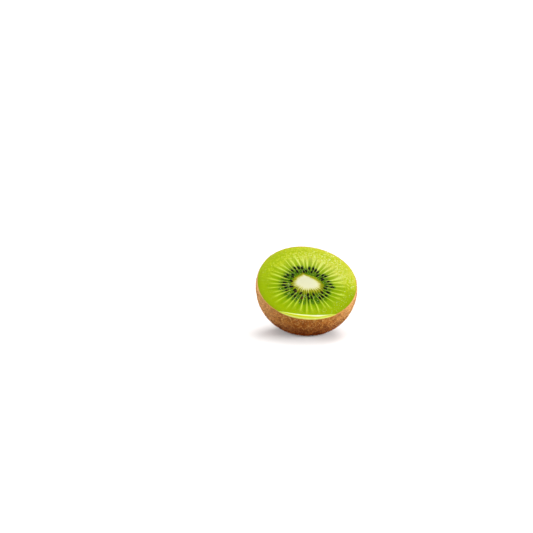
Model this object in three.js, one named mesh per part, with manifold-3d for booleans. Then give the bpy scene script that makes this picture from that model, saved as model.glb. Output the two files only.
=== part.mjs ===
// Half of a green kiwi fruit, cut across its middle. It lies on its brown skin with the cut face up
// and leaning towards -Y. Millimetres, +Z up. The origin is the centre of the small flat spot that
// the fruit rests on. The half is one piece: the flesh with its core, and the seeds that the cut
// left standing in it.
import * as THREE from "three";
import { mergeVertices } from "three/addons/utils/BufferGeometryUtils.js";
import Module from "manifold-3d";

// Driving dimensions of the fruit. Its own axis runs through the stem, with the cut face at zero.
const CUT_WIDTH = 52.2;
const CUT_OVAL = 0.91; // short axis of the oval section over its long one
const DEPTH = 30.4; // from the cut face to the blossom end
const WIDEST_BELOW_CUT = 4.1;
const PROFILE_POWER = 2.12; // 2 is an ellipse, more is a blunter barrel
const LEAN = THREE.MathUtils.degToRad(38.5);
const REST_SPOT_DEPTH = 1; // how far the skin is pressed flat underneath

// The section isn't a true oval: each lobe is a wave round it, with its share of the radius.
const LOBES = [
  { waves: 2, rise: 0.025, crest: -101 },
  { waves: 3, rise: 0.006, crest: -45 },
  { waves: 4, rise: 0.004, crest: 104 },
];

// The dry nub of the blossom end.
const NUB_RADIUS = 3.2;
const NUB_HEIGHT = 0.9;

// The pale core stands a little proud of the cut, off its centre.
const CORE_WIDTH = 15;
const CORE_OVAL = 0.76;
const CORE_RISE = 0.25;
const CORE_OFFSET = new THREE.Vector2(0.2, -0.35);
const CORE_LOBES = [
  { waves: 2, rise: 0.09, crest: -81 },
  { waves: 3, rise: 0.04, crest: -94 },
  { waves: 5, rise: 0.03, crest: -165 },
];

// Seeds lie in the locules, the wet cells between the pale rays that leave the core.
const LOCULES = 38;
const SEED_LENGTH = 2.2;
const SEED_WIDTH = 1.25;
const SEED_THICKNESS = 1.05;
const SEED_SINK = 0.05; // how far a seed's middle lies under the cut face
const SEED_SIZE_SPREAD = 0.22; // largest less smallest, as a share of the size
const SEED_RING_OFFSET = new THREE.Vector2(0.2, -0.75);
const SEED_RING_OVAL = 0.91;
const SEED_RING_LOBES = [
  { waves: 2, rise: 0.085, crest: -60 },
  { waves: 3, rise: 0.042, crest: -77 },
];
const SEED_ROWS = [
  { width: 22.9, share: 0.74, shift: 0.31 },
  { width: 17.5, share: 0.5, shift: 0.83 },
];
const SEED_ROW_SPREAD = 2.4; // how far in and out of their ring the seeds of a row lie
const SEED_SIDE_SPREAD = 0.3; // how far to the sides, as a share of a locule
const SEED_TURN_SPREAD = THREE.MathUtils.degToRad(30);

// Fractions of a turn that never repeat: they scatter the seeds evenly with no random draw.
const GOLDEN = 0.6180339887;
const PLASTIC = 0.7548776662;
const SILVER = 0.4142135624;

// Facets
const SIDES = 72;
const PROFILE_STEPS = 20;
const NUB_STEPS = 3;
const SEED_SIDES = 6;
const SEED_RINGS = 5;

const TAU = 2 * Math.PI;
const barrelDepth = DEPTH - WIDEST_BELOW_CUT;
const widestRadius = CUT_WIDTH / 2 / barrelRadius(0);

// Radius at a height under the cut, as a share of the widest radius.
function barrelRadius(height) {
  const share = Math.abs(height + WIDEST_BELOW_CUT) / barrelDepth;
  return (1 - Math.min(share, 1) ** PROFILE_POWER) ** (1 / PROFILE_POWER);
}

function scatter(index, turn, shift = 0) {
  const value = index * turn + shift;
  return value - Math.floor(value);
}

// A point on a lobed oval of this width round the fruit's axis, at an angle in radians.
function onOval(angle, width, oval, lobes) {
  let radius = width / 2;
  for (const { waves, rise, crest } of lobes) {
    radius *= 1 + rise * Math.cos(waves * angle - THREE.MathUtils.degToRad(crest));
  }
  return new THREE.Vector2(radius * Math.cos(angle), oval * radius * Math.sin(angle));
}

// A closed solid from rings of SIDES points that run from top to bottom, between two end points.
function loft(top, rings, bottom) {
  const points = [top, ...rings.flat(), bottom];
  const last = points.length - 1;
  const index = [];
  for (let side = 0; side < SIDES; side += 1) {
    const next = (side + 1) % SIDES;
    index.push(0, 1 + side, 1 + next);
    for (let ring = 0; ring < rings.length - 1; ring += 1) {
      const upper = 1 + ring * SIDES;
      const lower = upper + SIDES;
      index.push(upper + side, lower + side, lower + next);
      index.push(upper + side, lower + next, upper + next);
    }
    const end = 1 + (rings.length - 1) * SIDES;
    index.push(end + side, last, end + next);
  }
  return new THREE.BufferGeometry().setFromPoints(points).setIndex(index);
}

function ringAt(height, width, oval, lobes, offset = new THREE.Vector2()) {
  return Array.from({ length: SIDES }, (_, side) => {
    const at = onOval((side / SIDES) * TAU, width, oval, lobes).add(offset);
    return new THREE.Vector3(at.x, at.y, height);
  });
}

// The barrel of the fruit from the cut down to the blossom end, which closes in a low nub.
function fruitGeometry() {
  const start = -Math.asin(WIDEST_BELOW_CUT / barrelDepth);
  const rings = [ringAt(0, CUT_WIDTH, CUT_OVAL, LOBES)];
  for (let step = 1; step <= PROFILE_STEPS; step += 1) {
    const around = THREE.MathUtils.lerp(start, Math.PI / 2, step / PROFILE_STEPS);
    const height = -WIDEST_BELOW_CUT - barrelDepth * Math.sin(around);
    const width = 2 * widestRadius * barrelRadius(height);
    if (width > 2 * NUB_RADIUS) {
      rings.push(ringAt(height, width, CUT_OVAL, LOBES));
    }
  }
  for (let step = 0; step < NUB_STEPS; step += 1) {
    const around = (step / NUB_STEPS) * (Math.PI / 2);
    const height = -DEPTH - NUB_HEIGHT * Math.sin(around);
    rings.push(ringAt(height, 2 * NUB_RADIUS * Math.cos(around), CUT_OVAL, LOBES));
  }
  const middleOfCut = new THREE.Vector3(0, 0, 0);
  return loft(middleOfCut, rings, new THREE.Vector3(0, 0, -DEPTH - NUB_HEIGHT));
}

// A low pad with a rounded edge, rooted in the flesh.
function coreGeometry() {
  const rootedAt = -1;
  const rings = [
    ringAt(CORE_RISE, 0.82 * CORE_WIDTH, CORE_OVAL, CORE_LOBES, CORE_OFFSET),
    ringAt(0, CORE_WIDTH, CORE_OVAL, CORE_LOBES, CORE_OFFSET),
    ringAt(rootedAt, CORE_WIDTH, CORE_OVAL, CORE_LOBES, CORE_OFFSET),
  ];
  const top = new THREE.Vector3(CORE_OFFSET.x, CORE_OFFSET.y, CORE_RISE);
  return loft(top, rings, top.clone().setZ(rootedAt));
}

// One seed: an egg shape that points at the core, half sunk in the cut.
function seedGeometry(locule, { width, shift }) {
  const aside = SEED_SIDE_SPREAD * (scatter(locule, GOLDEN, -shift) - 0.5);
  const angle = ((locule + 0.5 + aside) / LOCULES) * TAU;
  const size = 1 + SEED_SIZE_SPREAD * (scatter(locule, PLASTIC, shift) - 0.5);
  const out = SEED_ROW_SPREAD * (scatter(locule, SILVER) - 0.5);
  const at = onOval(angle, width + out, SEED_RING_OVAL, SEED_RING_LOBES);
  const turn = at.angle() + SEED_TURN_SPREAD * (scatter(locule, PLASTIC, -shift) - 0.5);
  at.add(SEED_RING_OFFSET);
  return new THREE.SphereGeometry(0.5, SEED_SIDES, SEED_RINGS)
    .rotateZ(Math.PI / 2)
    .scale(size * SEED_LENGTH, size * SEED_WIDTH, size * SEED_THICKNESS)
    .rotateZ(turn)
    .translate(at.x, at.y, -SEED_SINK);
}

function seedGeometries() {
  return SEED_ROWS.flatMap((row) => {
    const locules = Array.from({ length: LOCULES }, (_, locule) => locule);
    const filled = locules.filter((locule) => scatter(locule, GOLDEN, row.shift) < row.share);
    return filled.map((locule) => seedGeometry(locule, row));
  });
}

const wasm = await Module();
wasm.setup();

function solidFrom(geometry) {
  geometry.deleteAttribute("normal");
  geometry.deleteAttribute("uv");
  const merged = mergeVertices(geometry, 1e-4);
  return new wasm.Manifold(
    new wasm.Mesh({
      numProp: 3,
      vertProperties: merged.attributes.position.array,
      triVerts: new Uint32Array(merged.index.array),
    }),
  );
}

function geometryFrom(solid) {
  const { vertProperties, triVerts } = solid.getMesh();
  const geometry = new THREE.BufferGeometry();
  geometry.setAttribute("position", new THREE.BufferAttribute(vertProperties, 3));
  return geometry.setIndex(new THREE.BufferAttribute(triVerts, 1));
}

// Leans the fruit over and lowers it until it dips under the ground by the depth of the rest spot.
function laidDown(geometry) {
  geometry.rotateX(LEAN);
  geometry.computeBoundingBox();
  return geometry.translate(0, 0, -geometry.boundingBox.min.z - REST_SPOT_DEPTH);
}

function cutAtGround(geometry) {
  const ground = new THREE.BoxGeometry(2 * CUT_WIDTH, 2 * CUT_WIDTH, CUT_WIDTH);
  ground.translate(0, 0, -CUT_WIDTH / 2);
  return geometryFrom(solidFrom(geometry).subtract(solidFrom(ground)));
}

// The middle of the faces that lie on the ground.
function restSpotCentre(geometry) {
  const position = geometry.attributes.position;
  const corners = geometry.index.array;
  const centre = new THREE.Vector3();
  const triangle = new THREE.Triangle();
  const middle = new THREE.Vector3();
  let area = 0;
  for (let first = 0; first < corners.length; first += 3) {
    const [a, b, c] = corners.subarray(first, first + 3);
    triangle.setFromAttributeAndIndices(position, a, b, c);
    if (Math.max(triangle.a.z, triangle.b.z, triangle.c.z) < 1e-4) {
      centre.addScaledVector(triangle.getMidpoint(middle), triangle.getArea());
      area += triangle.getArea();
    }
  }
  return centre.divideScalar(area).setZ(0);
}

function kiwiHalf() {
  let solid = solidFrom(fruitGeometry()).add(solidFrom(coreGeometry()));
  for (const seed of seedGeometries()) {
    solid = solid.add(solidFrom(seed));
  }
  const resting = cutAtGround(laidDown(geometryFrom(solid)));
  const spot = restSpotCentre(resting);
  resting.translate(-spot.x, -spot.y, 0);
  resting.computeVertexNormals();
  const flesh = new THREE.MeshStandardMaterial({
    color: 0xa3c520,
    roughness: 0.35,
    metalness: 0,
    flatShading: true,
  });
  const mesh = new THREE.Mesh(resting, flesh);
  mesh.name = "kiwi_half";
  return mesh;
}

const part = new THREE.Group();
part.add(kiwiHalf());

export default part;
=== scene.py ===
"""Half of a green kiwi fruit, cut across its middle and lying on its skin with the cut leaning forward.

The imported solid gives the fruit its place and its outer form. This script gives it its looks: the
fuzzy skin, the cut flesh with its pale rays and wet green cells, the core, the seeds and the juice
that has gathered along the lower edge of the cut.
"""

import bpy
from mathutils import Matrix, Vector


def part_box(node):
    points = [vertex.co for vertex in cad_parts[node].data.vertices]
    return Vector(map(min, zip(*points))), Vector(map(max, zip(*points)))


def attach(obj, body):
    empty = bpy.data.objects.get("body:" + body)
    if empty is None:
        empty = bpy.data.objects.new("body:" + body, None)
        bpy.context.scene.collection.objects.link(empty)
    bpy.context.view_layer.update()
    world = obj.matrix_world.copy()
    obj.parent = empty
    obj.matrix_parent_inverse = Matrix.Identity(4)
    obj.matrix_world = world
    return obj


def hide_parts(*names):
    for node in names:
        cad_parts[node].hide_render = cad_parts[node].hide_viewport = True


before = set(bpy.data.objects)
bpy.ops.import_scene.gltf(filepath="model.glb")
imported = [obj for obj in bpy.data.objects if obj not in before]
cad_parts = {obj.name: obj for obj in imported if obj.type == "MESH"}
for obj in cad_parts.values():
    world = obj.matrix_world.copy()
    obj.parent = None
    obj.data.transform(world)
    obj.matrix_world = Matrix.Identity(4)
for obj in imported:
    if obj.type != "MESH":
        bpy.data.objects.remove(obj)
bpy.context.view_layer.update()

import math

import bmesh
import bpy
import numpy as np
from bpy.props import (
    FloatProperty,
    FloatVectorProperty,
    IntProperty,
    PointerProperty,
)
from mathutils import Matrix, Vector, kdtree, noise

bl_info = {
    "name": "Kiwi Fruit Half",
    "version": (1, 0, 0),
    "blender": (4, 5, 0),
    "location": "3D View > Sidebar > Kiwi Fruit",
    "description": "Builds the skin, fuzz, flesh, core, seeds and juice of a cut kiwi fruit",
    "category": "Add Mesh",
}

NODE = "kiwi_half"
BAKE_MAP = "OFBake"
MM = 0.001
TAU = 2 * math.pi

# Points of a mesh that lie closer than this are one point.
SAME_PLACE = MM / 1e4

# The section isn't a true oval: each lobe is a wave round it, as the number of waves, the share of
# the radius that it adds at its crest, and the angle of that crest in degrees.
LOBES = ((2, 0.025, -101), (3, 0.006, -45), (4, 0.004, 104))
CORE_LOBES = ((2, 0.09, -81), (3, 0.04, -94), (5, 0.03, -165))

# Each row of seeds: its width in metres, the share of locules with a seed, and the shift of its
# scatter.
SEED_ROWS = ((22.9 * MM, 0.74, 0.31), (17.5 * MM, 0.5, 0.83))
SEED_RING_LOBES = ((2, 0.085, -60), (3, 0.042, -77))
CORE_MIDDLE = np.array((0.2, -0.35)) * MM
SEEDS_MIDDLE = np.array((0.2, -0.75)) * MM

# The skin's share that lies outside the flesh at the rim, and under it where the fruit rests.
SKIN_OUTSIDE = 0.8

# Fractions of a turn that never repeat: they scatter things evenly with no random draw.
GOLDEN = 0.6180339887
PLASTIC = 0.7548776662
SILVER = 0.4142135624


# ---------------------------------------------------------------------------------------------------
# Sizes and colours
# ---------------------------------------------------------------------------------------------------


def length(name, description, millimetres):
    return FloatProperty(
        name=name,
        description=description,
        default=millimetres * MM,
        unit="LENGTH",
        precision=5,
    )


def share(name, description, default):
    return FloatProperty(
        name=name, description=description, default=default, subtype="FACTOR"
    )


def angle_of(name, description, degrees):
    return FloatProperty(
        name=name,
        description=description,
        default=math.radians(degrees),
        subtype="ANGLE",
    )


def colour(name, description, default):
    return FloatVectorProperty(
        name=name,
        description=description,
        default=default,
        size=3,
        min=0,
        max=1,
        subtype="COLOR",
    )


class FruitSizes(bpy.types.PropertyGroup):
    cut_width: length("Cut width", "Long axis of the cut", 52.2)
    cut_oval: share("Cut oval", "Short axis of the section over its long one", 0.91)
    depth: length("Depth", "From the cut to the blossom end", 30.4)
    widest_below_cut: length("Widest below cut", "Where the barrel is widest", 4.1)
    profile_power: FloatProperty(
        name="Profile power",
        description="2 is an ellipse, more is a blunter barrel",
        default=2.12,
    )
    lean: angle_of("Lean", "How far the cut leans forward", 38.5)
    nub_radius: length("Nub radius", "Radius of the dry blossom end", 3.2)
    nub_height: length("Nub height", "Height of the dry blossom end", 0.9)
    skin_thickness: length("Skin thickness", "Thickness of the brown skin", 0.35)


class FleshLook(bpy.types.PropertyGroup):
    locules: IntProperty(
        name="Locules", description="Wet cells round the core", default=38
    )
    septum_rise: length("Septum rise", "How far the pale rays stand up", 0.1)
    locule_sink: length("Locule sink", "How far the wet cells sink in", 0.16)
    grain_rise: length("Grain rise", "Relief of the outer flesh", 0.05)
    lime: colour("Lime", "Outer flesh away from the light", (0.1957, 0.2772, 0.0003262))
    pale: colour("Pale", "Outer flesh towards the light", (0.4159, 0.4199, 0.05708))
    sunny: colour("Sunny", "Outer flesh between the two", (0.3036, 0.373, 0.005529))
    young: colour("Young", "Shaded flesh round the wet cells", (0.1224, 0.216, 0.0002446))
    deep: colour("Deep", "Flesh in the shade of the rim", (0.1671, 0.2405, 0.000163))
    rim: colour("Rim", "Flesh at the rim, towards the light", (0.4078, 0.4078, 0.02039))
    septum: colour("Septum", "The pale rays", (0.4364, 0.496, 0.1045))
    gel: colour("Gel", "Wet cells, far from the seeds", (0.1471, 0.2542, 0.0002676))
    ray_lime: colour("Ray lime", "The rays away from the light", (0.4067, 0.4949, 0.03515))
    # Glint is painted highlights: the glints on the outer flesh and the sparks in the wet gel.
    glint: colour("Glint", "Bright grains of the outer flesh", (0.6361, 0.6522, 0.3262))
    dark_gel: colour("Dark gel", "Wet cells, round the seeds", (0.02123, 0.08028, 8.028e-05))


class CoreLook(bpy.types.PropertyGroup):
    width: length("Core width", "Long axis of the core", 15)
    oval: share("Core oval", "Short axis of the core over its long one", 0.76)
    rise: length("Core rise", "How far the core stands proud", 0.25)
    root: length("Core root", "How deep the core goes", 1)
    cream: colour("Cream", "Middle of the core", (0.5203, 0.5137, 0.3368))
    straw: colour("Straw", "Edge of the core", (0.4256, 0.4135, 0.1003))
    olive: colour("Olive", "Ring round the core", (0.1918, 0.1999, 0.002446))


class SeedLook(bpy.types.PropertyGroup):
    size: FloatVectorProperty(
        name="Seed size",
        description="Length, width and thickness",
        default=(2.2 * MM, 1.25 * MM, 1.05 * MM),
        size=3,
        unit="LENGTH",
        precision=5,
    )
    sink: length("Seed sink", "How far a seed's middle lies under the cut", 0.05)
    size_spread: share("Size spread", "Largest less smallest, over the size", 0.22)
    ring_oval: share("Ring oval", "Short axis of the rings of seeds over their long one", 0.91)
    row_spread: length("Row spread", "How far in and out a row's seeds lie", 2.4)
    side_spread: share("Side spread", "How far a seed lies to the sides, over a wet cell", 0.3)
    turn_spread: angle_of("Turn spread", "How far the seeds turn from their rays", 30)
    coat: colour("Seed coat", "Most seeds", (0.003, 0.0022, 0.001))
    brown_coat: colour("Brown seed coat", "Unripe seeds", (0.05, 0.02, 0.004))


class SkinLook(bpy.types.PropertyGroup):
    relief: length("Skin relief", "Height of the skin's grain", 0.06)
    brown: colour("Brown", "The skin's own colour", (0.38, 0.092, 0.004))
    dark: colour("Dark", "Pits between the flecks", (0.13, 0.03, 0.003))
    golden: colour("Golden", "Corky flecks", (0.78, 0.36, 0.06))
    sheen: colour("Sheen", "Light that the fuzz catches at its edges", (0.85, 0.52, 0.22))
    high: colour("High", "Skin high above the ground", (0.5, 0.28, 0.11))
    # Shade is painted shade, which darkens the skin and its fuzz near the ground.
    shade: colour("Shade", "How the skin darkens near the ground", (0.48, 0.185, 0.02))
    cut_edge: colour("Cut edge", "Where the knife went through it", (0.5, 0.2, 0.04))
    hairs: IntProperty(name="Hairs", description="Hairs in the fuzz", default=46000)
    hair_length: length("Hair length", "Longest hairs", 1.0)
    hair_width: length("Hair width", "Width of a hair at its root", 0.12)
    tuft_hairs: IntProperty(name="Tuft hairs", description="Hairs in a tuft", default=10)
    tuft_pull: share("Tuft pull", "How far the hairs draw together", 0.65)
    hair_root: colour("Hair root", "Colour of the hairs at the skin", (0.325, 0.074, 0.0032))
    hair_tip: colour("Hair tip", "Colour of the hairs at their tips", (0.98, 0.58, 0.18))


class JuiceLook(bpy.types.PropertyGroup):
    width: length("Juice width", "Length of the bead along the rim", 32)
    breadth: length("Juice breadth", "Breadth of the bead in its middle", 2.9)
    rise: length("Juice rise", "How far the bead stands up", 0.5)
    clear: colour("Clear", "Middle of the bead", (0.4078, 0.4566, 0.003262))
    # Bright is painted light, gathered at the bead's edges, and white a painted highlight.
    bright: colour("Bright", "Edges of the bead, where the light gathers", (0.5887, 0.6689, 0.1338))
    white: colour("White", "Brightest streak of the bead", (0.6932, 0.685, 0.4893))


class StudioLook(bpy.types.PropertyGroup):
    floor_colour: colour("Floor", "Colour of the floor", (0.84, 0.84, 0.84))
    floor_bounce: colour("Floor bounce", "Light that the floor gives back", (0.2, 0.2, 0.2))
    fill: FloatProperty(name="Fill", description="Light from all round", default=0.25)
    left_light: FloatProperty(name="Left light", description="Light from the left", default=2.9)
    right_light: FloatProperty(
        name="Right light", description="Light from the right", default=8.2
    )
    low_light: FloatProperty(
        name="Low light", description="Low light from both sides", default=2.6
    )
    front_light: FloatProperty(
        name="Front light", description="Light from the front", default=0.6
    )
    top_light: FloatProperty(name="Top light", description="Light from above", default=1.5)
    back_light: FloatProperty(
        name="Back light", description="High light behind the fruit", default=1.6
    )


class KiwiHalfLook(bpy.types.PropertyGroup):
    fruit: PointerProperty(type=FruitSizes)
    flesh: PointerProperty(type=FleshLook)
    core: PointerProperty(type=CoreLook)
    seeds: PointerProperty(type=SeedLook)
    skin: PointerProperty(type=SkinLook)
    juice: PointerProperty(type=JuiceLook)
    studio: PointerProperty(type=StudioLook)


# ---------------------------------------------------------------------------------------------------
# The fruit's form, in its own frame: the cut is at height zero and the blossom end points down
# ---------------------------------------------------------------------------------------------------


def scatter(index, turn, shift=0.0):
    """A share from 0 to 1 for each index, spread evenly."""
    return (index * turn + shift) % 1


def smooth(low, high, value):
    """0 under low, 1 over high, and a smooth rise between them."""
    step = np.clip((value - low) / (high - low), 0, 1)
    return step * step * (3 - 2 * step)


def on_oval(angle, width, oval, lobes=()):
    """A point on a lobed oval of this width, at an angle in radians."""
    radius = width / 2
    for crests, part, crest in lobes:
        radius = radius * (1 + part * np.cos(crests * angle - math.radians(crest)))
    return np.stack((radius * np.cos(angle), oval * radius * np.sin(angle)), axis=-1)


def flesh_width(fruit):
    """Width of the cut's flesh, from rim to rim."""
    return fruit.cut_width - SKIN_OUTSIDE * fruit.skin_thickness


def barrel_width(height, fruit):
    """Width of the fruit at a height, as a superellipse that is widest a little below the cut."""
    depth = fruit.depth - fruit.widest_below_cut

    def roundness(at):
        off = np.minimum(np.abs(at + fruit.widest_below_cut) / depth, 1)
        return (1 - off**fruit.profile_power) ** (1 / fruit.profile_power)

    return fruit.cut_width * roundness(height) / roundness(0)


def barrel_heights(fruit, steps):
    """Heights of rings down the barrel, from the cut to the edge of the nub."""
    depth = fruit.depth - fruit.widest_below_cut
    start = -math.asin(fruit.widest_below_cut / depth)
    around = np.linspace(start, math.pi / 2, steps)
    heights = -fruit.widest_below_cut - depth * np.sin(around)
    return [h for h in heights if barrel_width(h, fruit) > 2 * fruit.nub_radius]


def resting_place(fruit, sides=360, steps=120):
    """The turn and the place that carry the fruit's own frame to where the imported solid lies."""
    lean = Matrix.Rotation(fruit.lean, 3, "X")
    angles = np.linspace(0, TAU, sides + 1)
    rings = []
    for height in barrel_heights(fruit, steps):
        ring = on_oval(angles, barrel_width(height, fruit), fruit.cut_oval, LOBES)
        rings.append(np.column_stack((ring, np.full(len(ring), height))))
    leaning = np.concatenate(rings) @ np.array(lean).T
    own_low, own_high = leaning.min(axis=0), leaning.max(axis=0)
    low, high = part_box(NODE)
    place = Vector(
        (
            (low[0] + high[0] - own_low[0] - own_high[0]) / 2,
            (low[1] + high[1] - own_low[1] - own_high[1]) / 2,
            high[2] - own_high[2],
        )
    )
    return Matrix.Translation(place) @ lean.to_4x4()


def on_cut(angle, share_out, look):
    """The place on the cut at an angle and a share of the way to the rim. The core and the two rows
    of seeds have ovals and middles of their own, and the rays bend from one to the next."""
    fruit, core = look.fruit, look.core
    rim_width = flesh_width(fruit)
    outer, inner = SEED_ROWS
    rings = (
        (0, np.zeros(np.shape(angle) + (2,)) + CORE_MIDDLE),
        (core.width, on_oval(angle, core.width, core.oval, CORE_LOBES) + CORE_MIDDLE),
        (inner[0], seed_ring(angle, inner[0], look)),
        (outer[0], seed_ring(angle, outer[0], look)),
        (rim_width, on_oval(angle, rim_width, fruit.cut_oval, LOBES)),
    )
    width = np.asarray(share_out * rim_width)[..., None]
    place = rings[0][1]
    for (near, near_ring), (far, far_ring) in zip(rings, rings[1:]):
        part = np.clip((width - near) / (far - near), 0, 1)
        place = np.where(width >= near, near_ring + part * (far_ring - near_ring), place)
    return place


def seed_ring(angle, width, look):
    return on_oval(angle, width, look.seeds.ring_oval, SEED_RING_LOBES) + SEEDS_MIDDLE


def seed_places(look):
    """Each seed's place on the cut, turn about the fruit's axis and size, by the rule of the solid."""
    seeds = look.seeds
    places = []
    for width, filled, shift in SEED_ROWS:
        for locule in range(look.flesh.locules):
            if scatter(locule, GOLDEN, shift) >= filled:
                continue
            aside = seeds.side_spread * (scatter(locule, GOLDEN, -shift) - 0.5)
            angle = (locule + 0.5 + aside) / look.flesh.locules * TAU
            size = 1 + seeds.size_spread * (scatter(locule, PLASTIC, shift) - 0.5)
            out = seeds.row_spread * (scatter(locule, SILVER) - 0.5)
            at = seed_ring(angle, width + out, look)
            turn = math.atan2(*reversed(at - SEEDS_MIDDLE))
            turn += seeds.turn_spread * (scatter(locule, PLASTIC, -shift) - 0.5)
            places.append((at, turn, size))
    return places


# ---------------------------------------------------------------------------------------------------
# Meshes
# ---------------------------------------------------------------------------------------------------


def turned(profile, sides):
    """A closed round body: a grid whose rows follow the profile of radii and heights, rolled up
    round the fruit's axis, with its seam and its two poles closed."""
    body = bmesh.new()
    rows = len(profile) - 1
    bmesh.ops.create_grid(body, x_segments=sides, y_segments=rows, size=1)
    for vert in body.verts:
        angle = TAU * round((vert.co.x + 1) / 2 * sides) / sides
        radius, height = profile[round((vert.co.y + 1) / 2 * rows)]
        vert.co = (radius * math.cos(angle), radius * math.sin(angle), height)
    bmesh.ops.remove_doubles(body, verts=body.verts, dist=SAME_PLACE)
    bmesh.ops.recalc_face_normals(body, faces=body.faces)
    return body


def mesh_of(body, name):
    mesh = bpy.data.meshes.new(name)
    body.to_mesh(mesh)
    body.free()
    mesh.shade_smooth()
    return mesh


def points_of(mesh):
    flat = np.empty(len(mesh.vertices) * 3, np.float32)
    mesh.vertices.foreach_get("co", flat)
    return flat.reshape(-1, 3).astype(float)


def move_points(mesh, points):
    mesh.vertices.foreach_set("co", points.astype(np.float32).ravel())
    mesh.update()


def around_axis(points):
    """The angle of each point round the fruit's axis, and how far it is from that axis."""
    return np.arctan2(points[:, 1], points[:, 0]), np.hypot(points[:, 0], points[:, 1])


def mark_points(mesh, **marks):
    """Keeps numbers for each point of the mesh, for its material to read."""
    for name, values in marks.items():
        layer = mesh.attributes.new(name, "FLOAT", "POINT")
        layer.data.foreach_set("value", np.asarray(values, np.float32))


def mark_corners(mesh, spots):
    """Gives the mesh the map that its colours are baked on, from a spot for each face corner."""
    bake_map = mesh.uv_layers.new(name=BAKE_MAP)
    bake_map.uv.foreach_set("vector", spots.astype(np.float32).ravel())


def mark_map(mesh, spots):
    """Gives the mesh the map that its colours are baked on, from a spot for each point."""
    corners = np.empty(len(mesh.loops), np.int32)
    mesh.loops.foreach_get("vertex_index", corners)
    mark_corners(mesh, spots[corners])


def lay_down(mesh, fruit, floor=0.0):
    """Carries the mesh from the fruit's own frame to its place, pressed flat where it rests. The
    floor is one height, or one for each point."""
    mesh.transform(resting_place(fruit))
    points = points_of(mesh)
    points[:, 2] = np.maximum(points[:, 2], floor)
    move_points(mesh, points)


def waves(points, size, octaves=3, seed=0.0):
    """Smooth noise from -1 to 1 at each point, with waves of this size."""
    fade, step = 0.7, 2.1
    shift = Vector((seed, 2 * seed, 3 * seed))
    return np.array(
        [
            noise.fractal(Vector(point).to_3d() / size + shift, fade, step, octaves)
            for point in points.tolist()
        ]
    )


def add_piece(context, mesh, material):
    piece = bpy.data.objects.new(mesh.name, mesh)
    context.collection.objects.link(piece)
    mesh.materials.append(material)
    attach(piece, "root")
    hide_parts(NODE)


# ---------------------------------------------------------------------------------------------------
# The pattern of the cut
# ---------------------------------------------------------------------------------------------------

# Sides of the cut, in degrees round the fruit's axis from the right end of the cut, and how far they
# spread, in radians.
HIGHEST_SIDE = 75
FLAT_SIDE, FLAT_SPREAD = 52, 0.6
RIGHT_SIDE, RIGHT_SPREAD = -22, 0.55
PEAK_SIDE, PEAK_SPREAD = 102, 0.13

# How far the rays wander, over the width of a wet cell, and how fast round the cut and outwards. The
# ragged edges of the core and of the gel have waves of this size in millimetres.
WANDER, WANDER_ROUND, WANDER_OUT = 0.35, 6, 1.6
RAGGED_SIZE = 1.3

# Rays and wet cells. Where they start and end is a share of the way to the rim, and their width a
# share of the room between two rays. Of a pair of numbers, the first is for the upper side of the cut
# and the second for the lower.
RAY_STARTS, RAY_ENDS, RAY_END_SPREAD = (0.44, 0.3), (0.74, 0.83), 0.12
RAY_START_FADE, RAY_FADE_BEFORE, RAY_FADE_AFTER = 0.06, 0.16, 0.04
RAY_WIDTH, RAY_WIDTH_ADDED, RAY_WIDENS = (0.1, 0.07), (0.08, 0.06), (0.36, 0.66)
RAY_STRENGTH, RAY_STRENGTH_SPREAD, RAY_ROOT_STRENGTH = 0.6, 0.4, 0.12
CELL_STARTS, CELL_WIDEST = (0.25, 0.31), 0.45
CELL_TIPS, CELL_TIP_SPREAD, CELL_BLUNTNESS = (0.71, 0.85), 0.12, (0.3, 0.5)
CELL_WIDTH, CELL_EDGE = 1.2, 0.6
CELL_FADE, CELL_FADES = 0.45, (0.46, 0.7)

# The core's edge and the dark gel round the seeds, as shares of the way to the rim. The halo is the
# gel beside each seed: its strength, and where it ends and is full, as seed_distance measures it.
CORE_INSET, CORE_FLAT, CORE_RAGGED, CORE_PEAK = 0.02, 0.035, 0.015, 0.03
CORE_SPIKES, CORE_SOFT_IN, CORE_SOFT_OUT = 0.09, 0.11, (0.03, 0.09)
SPIKE_SHORTEST, SPIKE_SPREAD, SPIKE_MIDDLE = 0.6, 0.8, 0.45
GEL_STARTS, GEL_ENDS, GEL_SOFT_IN, GEL_SOFT_OUT = (0.245, 0.29), (0.43, 0.55), 0.06, 0.1
GEL_RAGGED, GEL_POINTED, GEL_FLAT, GEL_RIGHT = 0.03, 0.07, 0.09, 0.085
HALO_STRENGTH, HALO = 0.85, (1.1, 0.1)

# Relief of the cut that isn't one of the flesh's own sizes: the gel that climbs the seeds, the size
# of the grain and where it sets in, the slow swell of the whole cut, and the drop at its rim.
MENISCUS_RISE = 0.24 * MM
GRAIN_SIZE, GRAIN_SETS_IN = 0.9 * MM, (0.3, 0.6)
SWELL_RISE, SWELL_SIZE = 0.12 * MM, 9 * MM
RIM_DROP, RIM_DROPS = 0.12 * MM, (0.975, 1)


def side_of(angle, side, spread):
    """1 on one side of the cut, and 0 away from it."""
    off = np.angle(np.exp(1j * (angle - math.radians(side))))
    return np.exp(-((off / spread) ** 2))


def by_side(lower_side, upper, lower):
    """Goes from one number on the upper side of the cut to another on the lower."""
    return upper + (lower - upper) * lower_side


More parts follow.
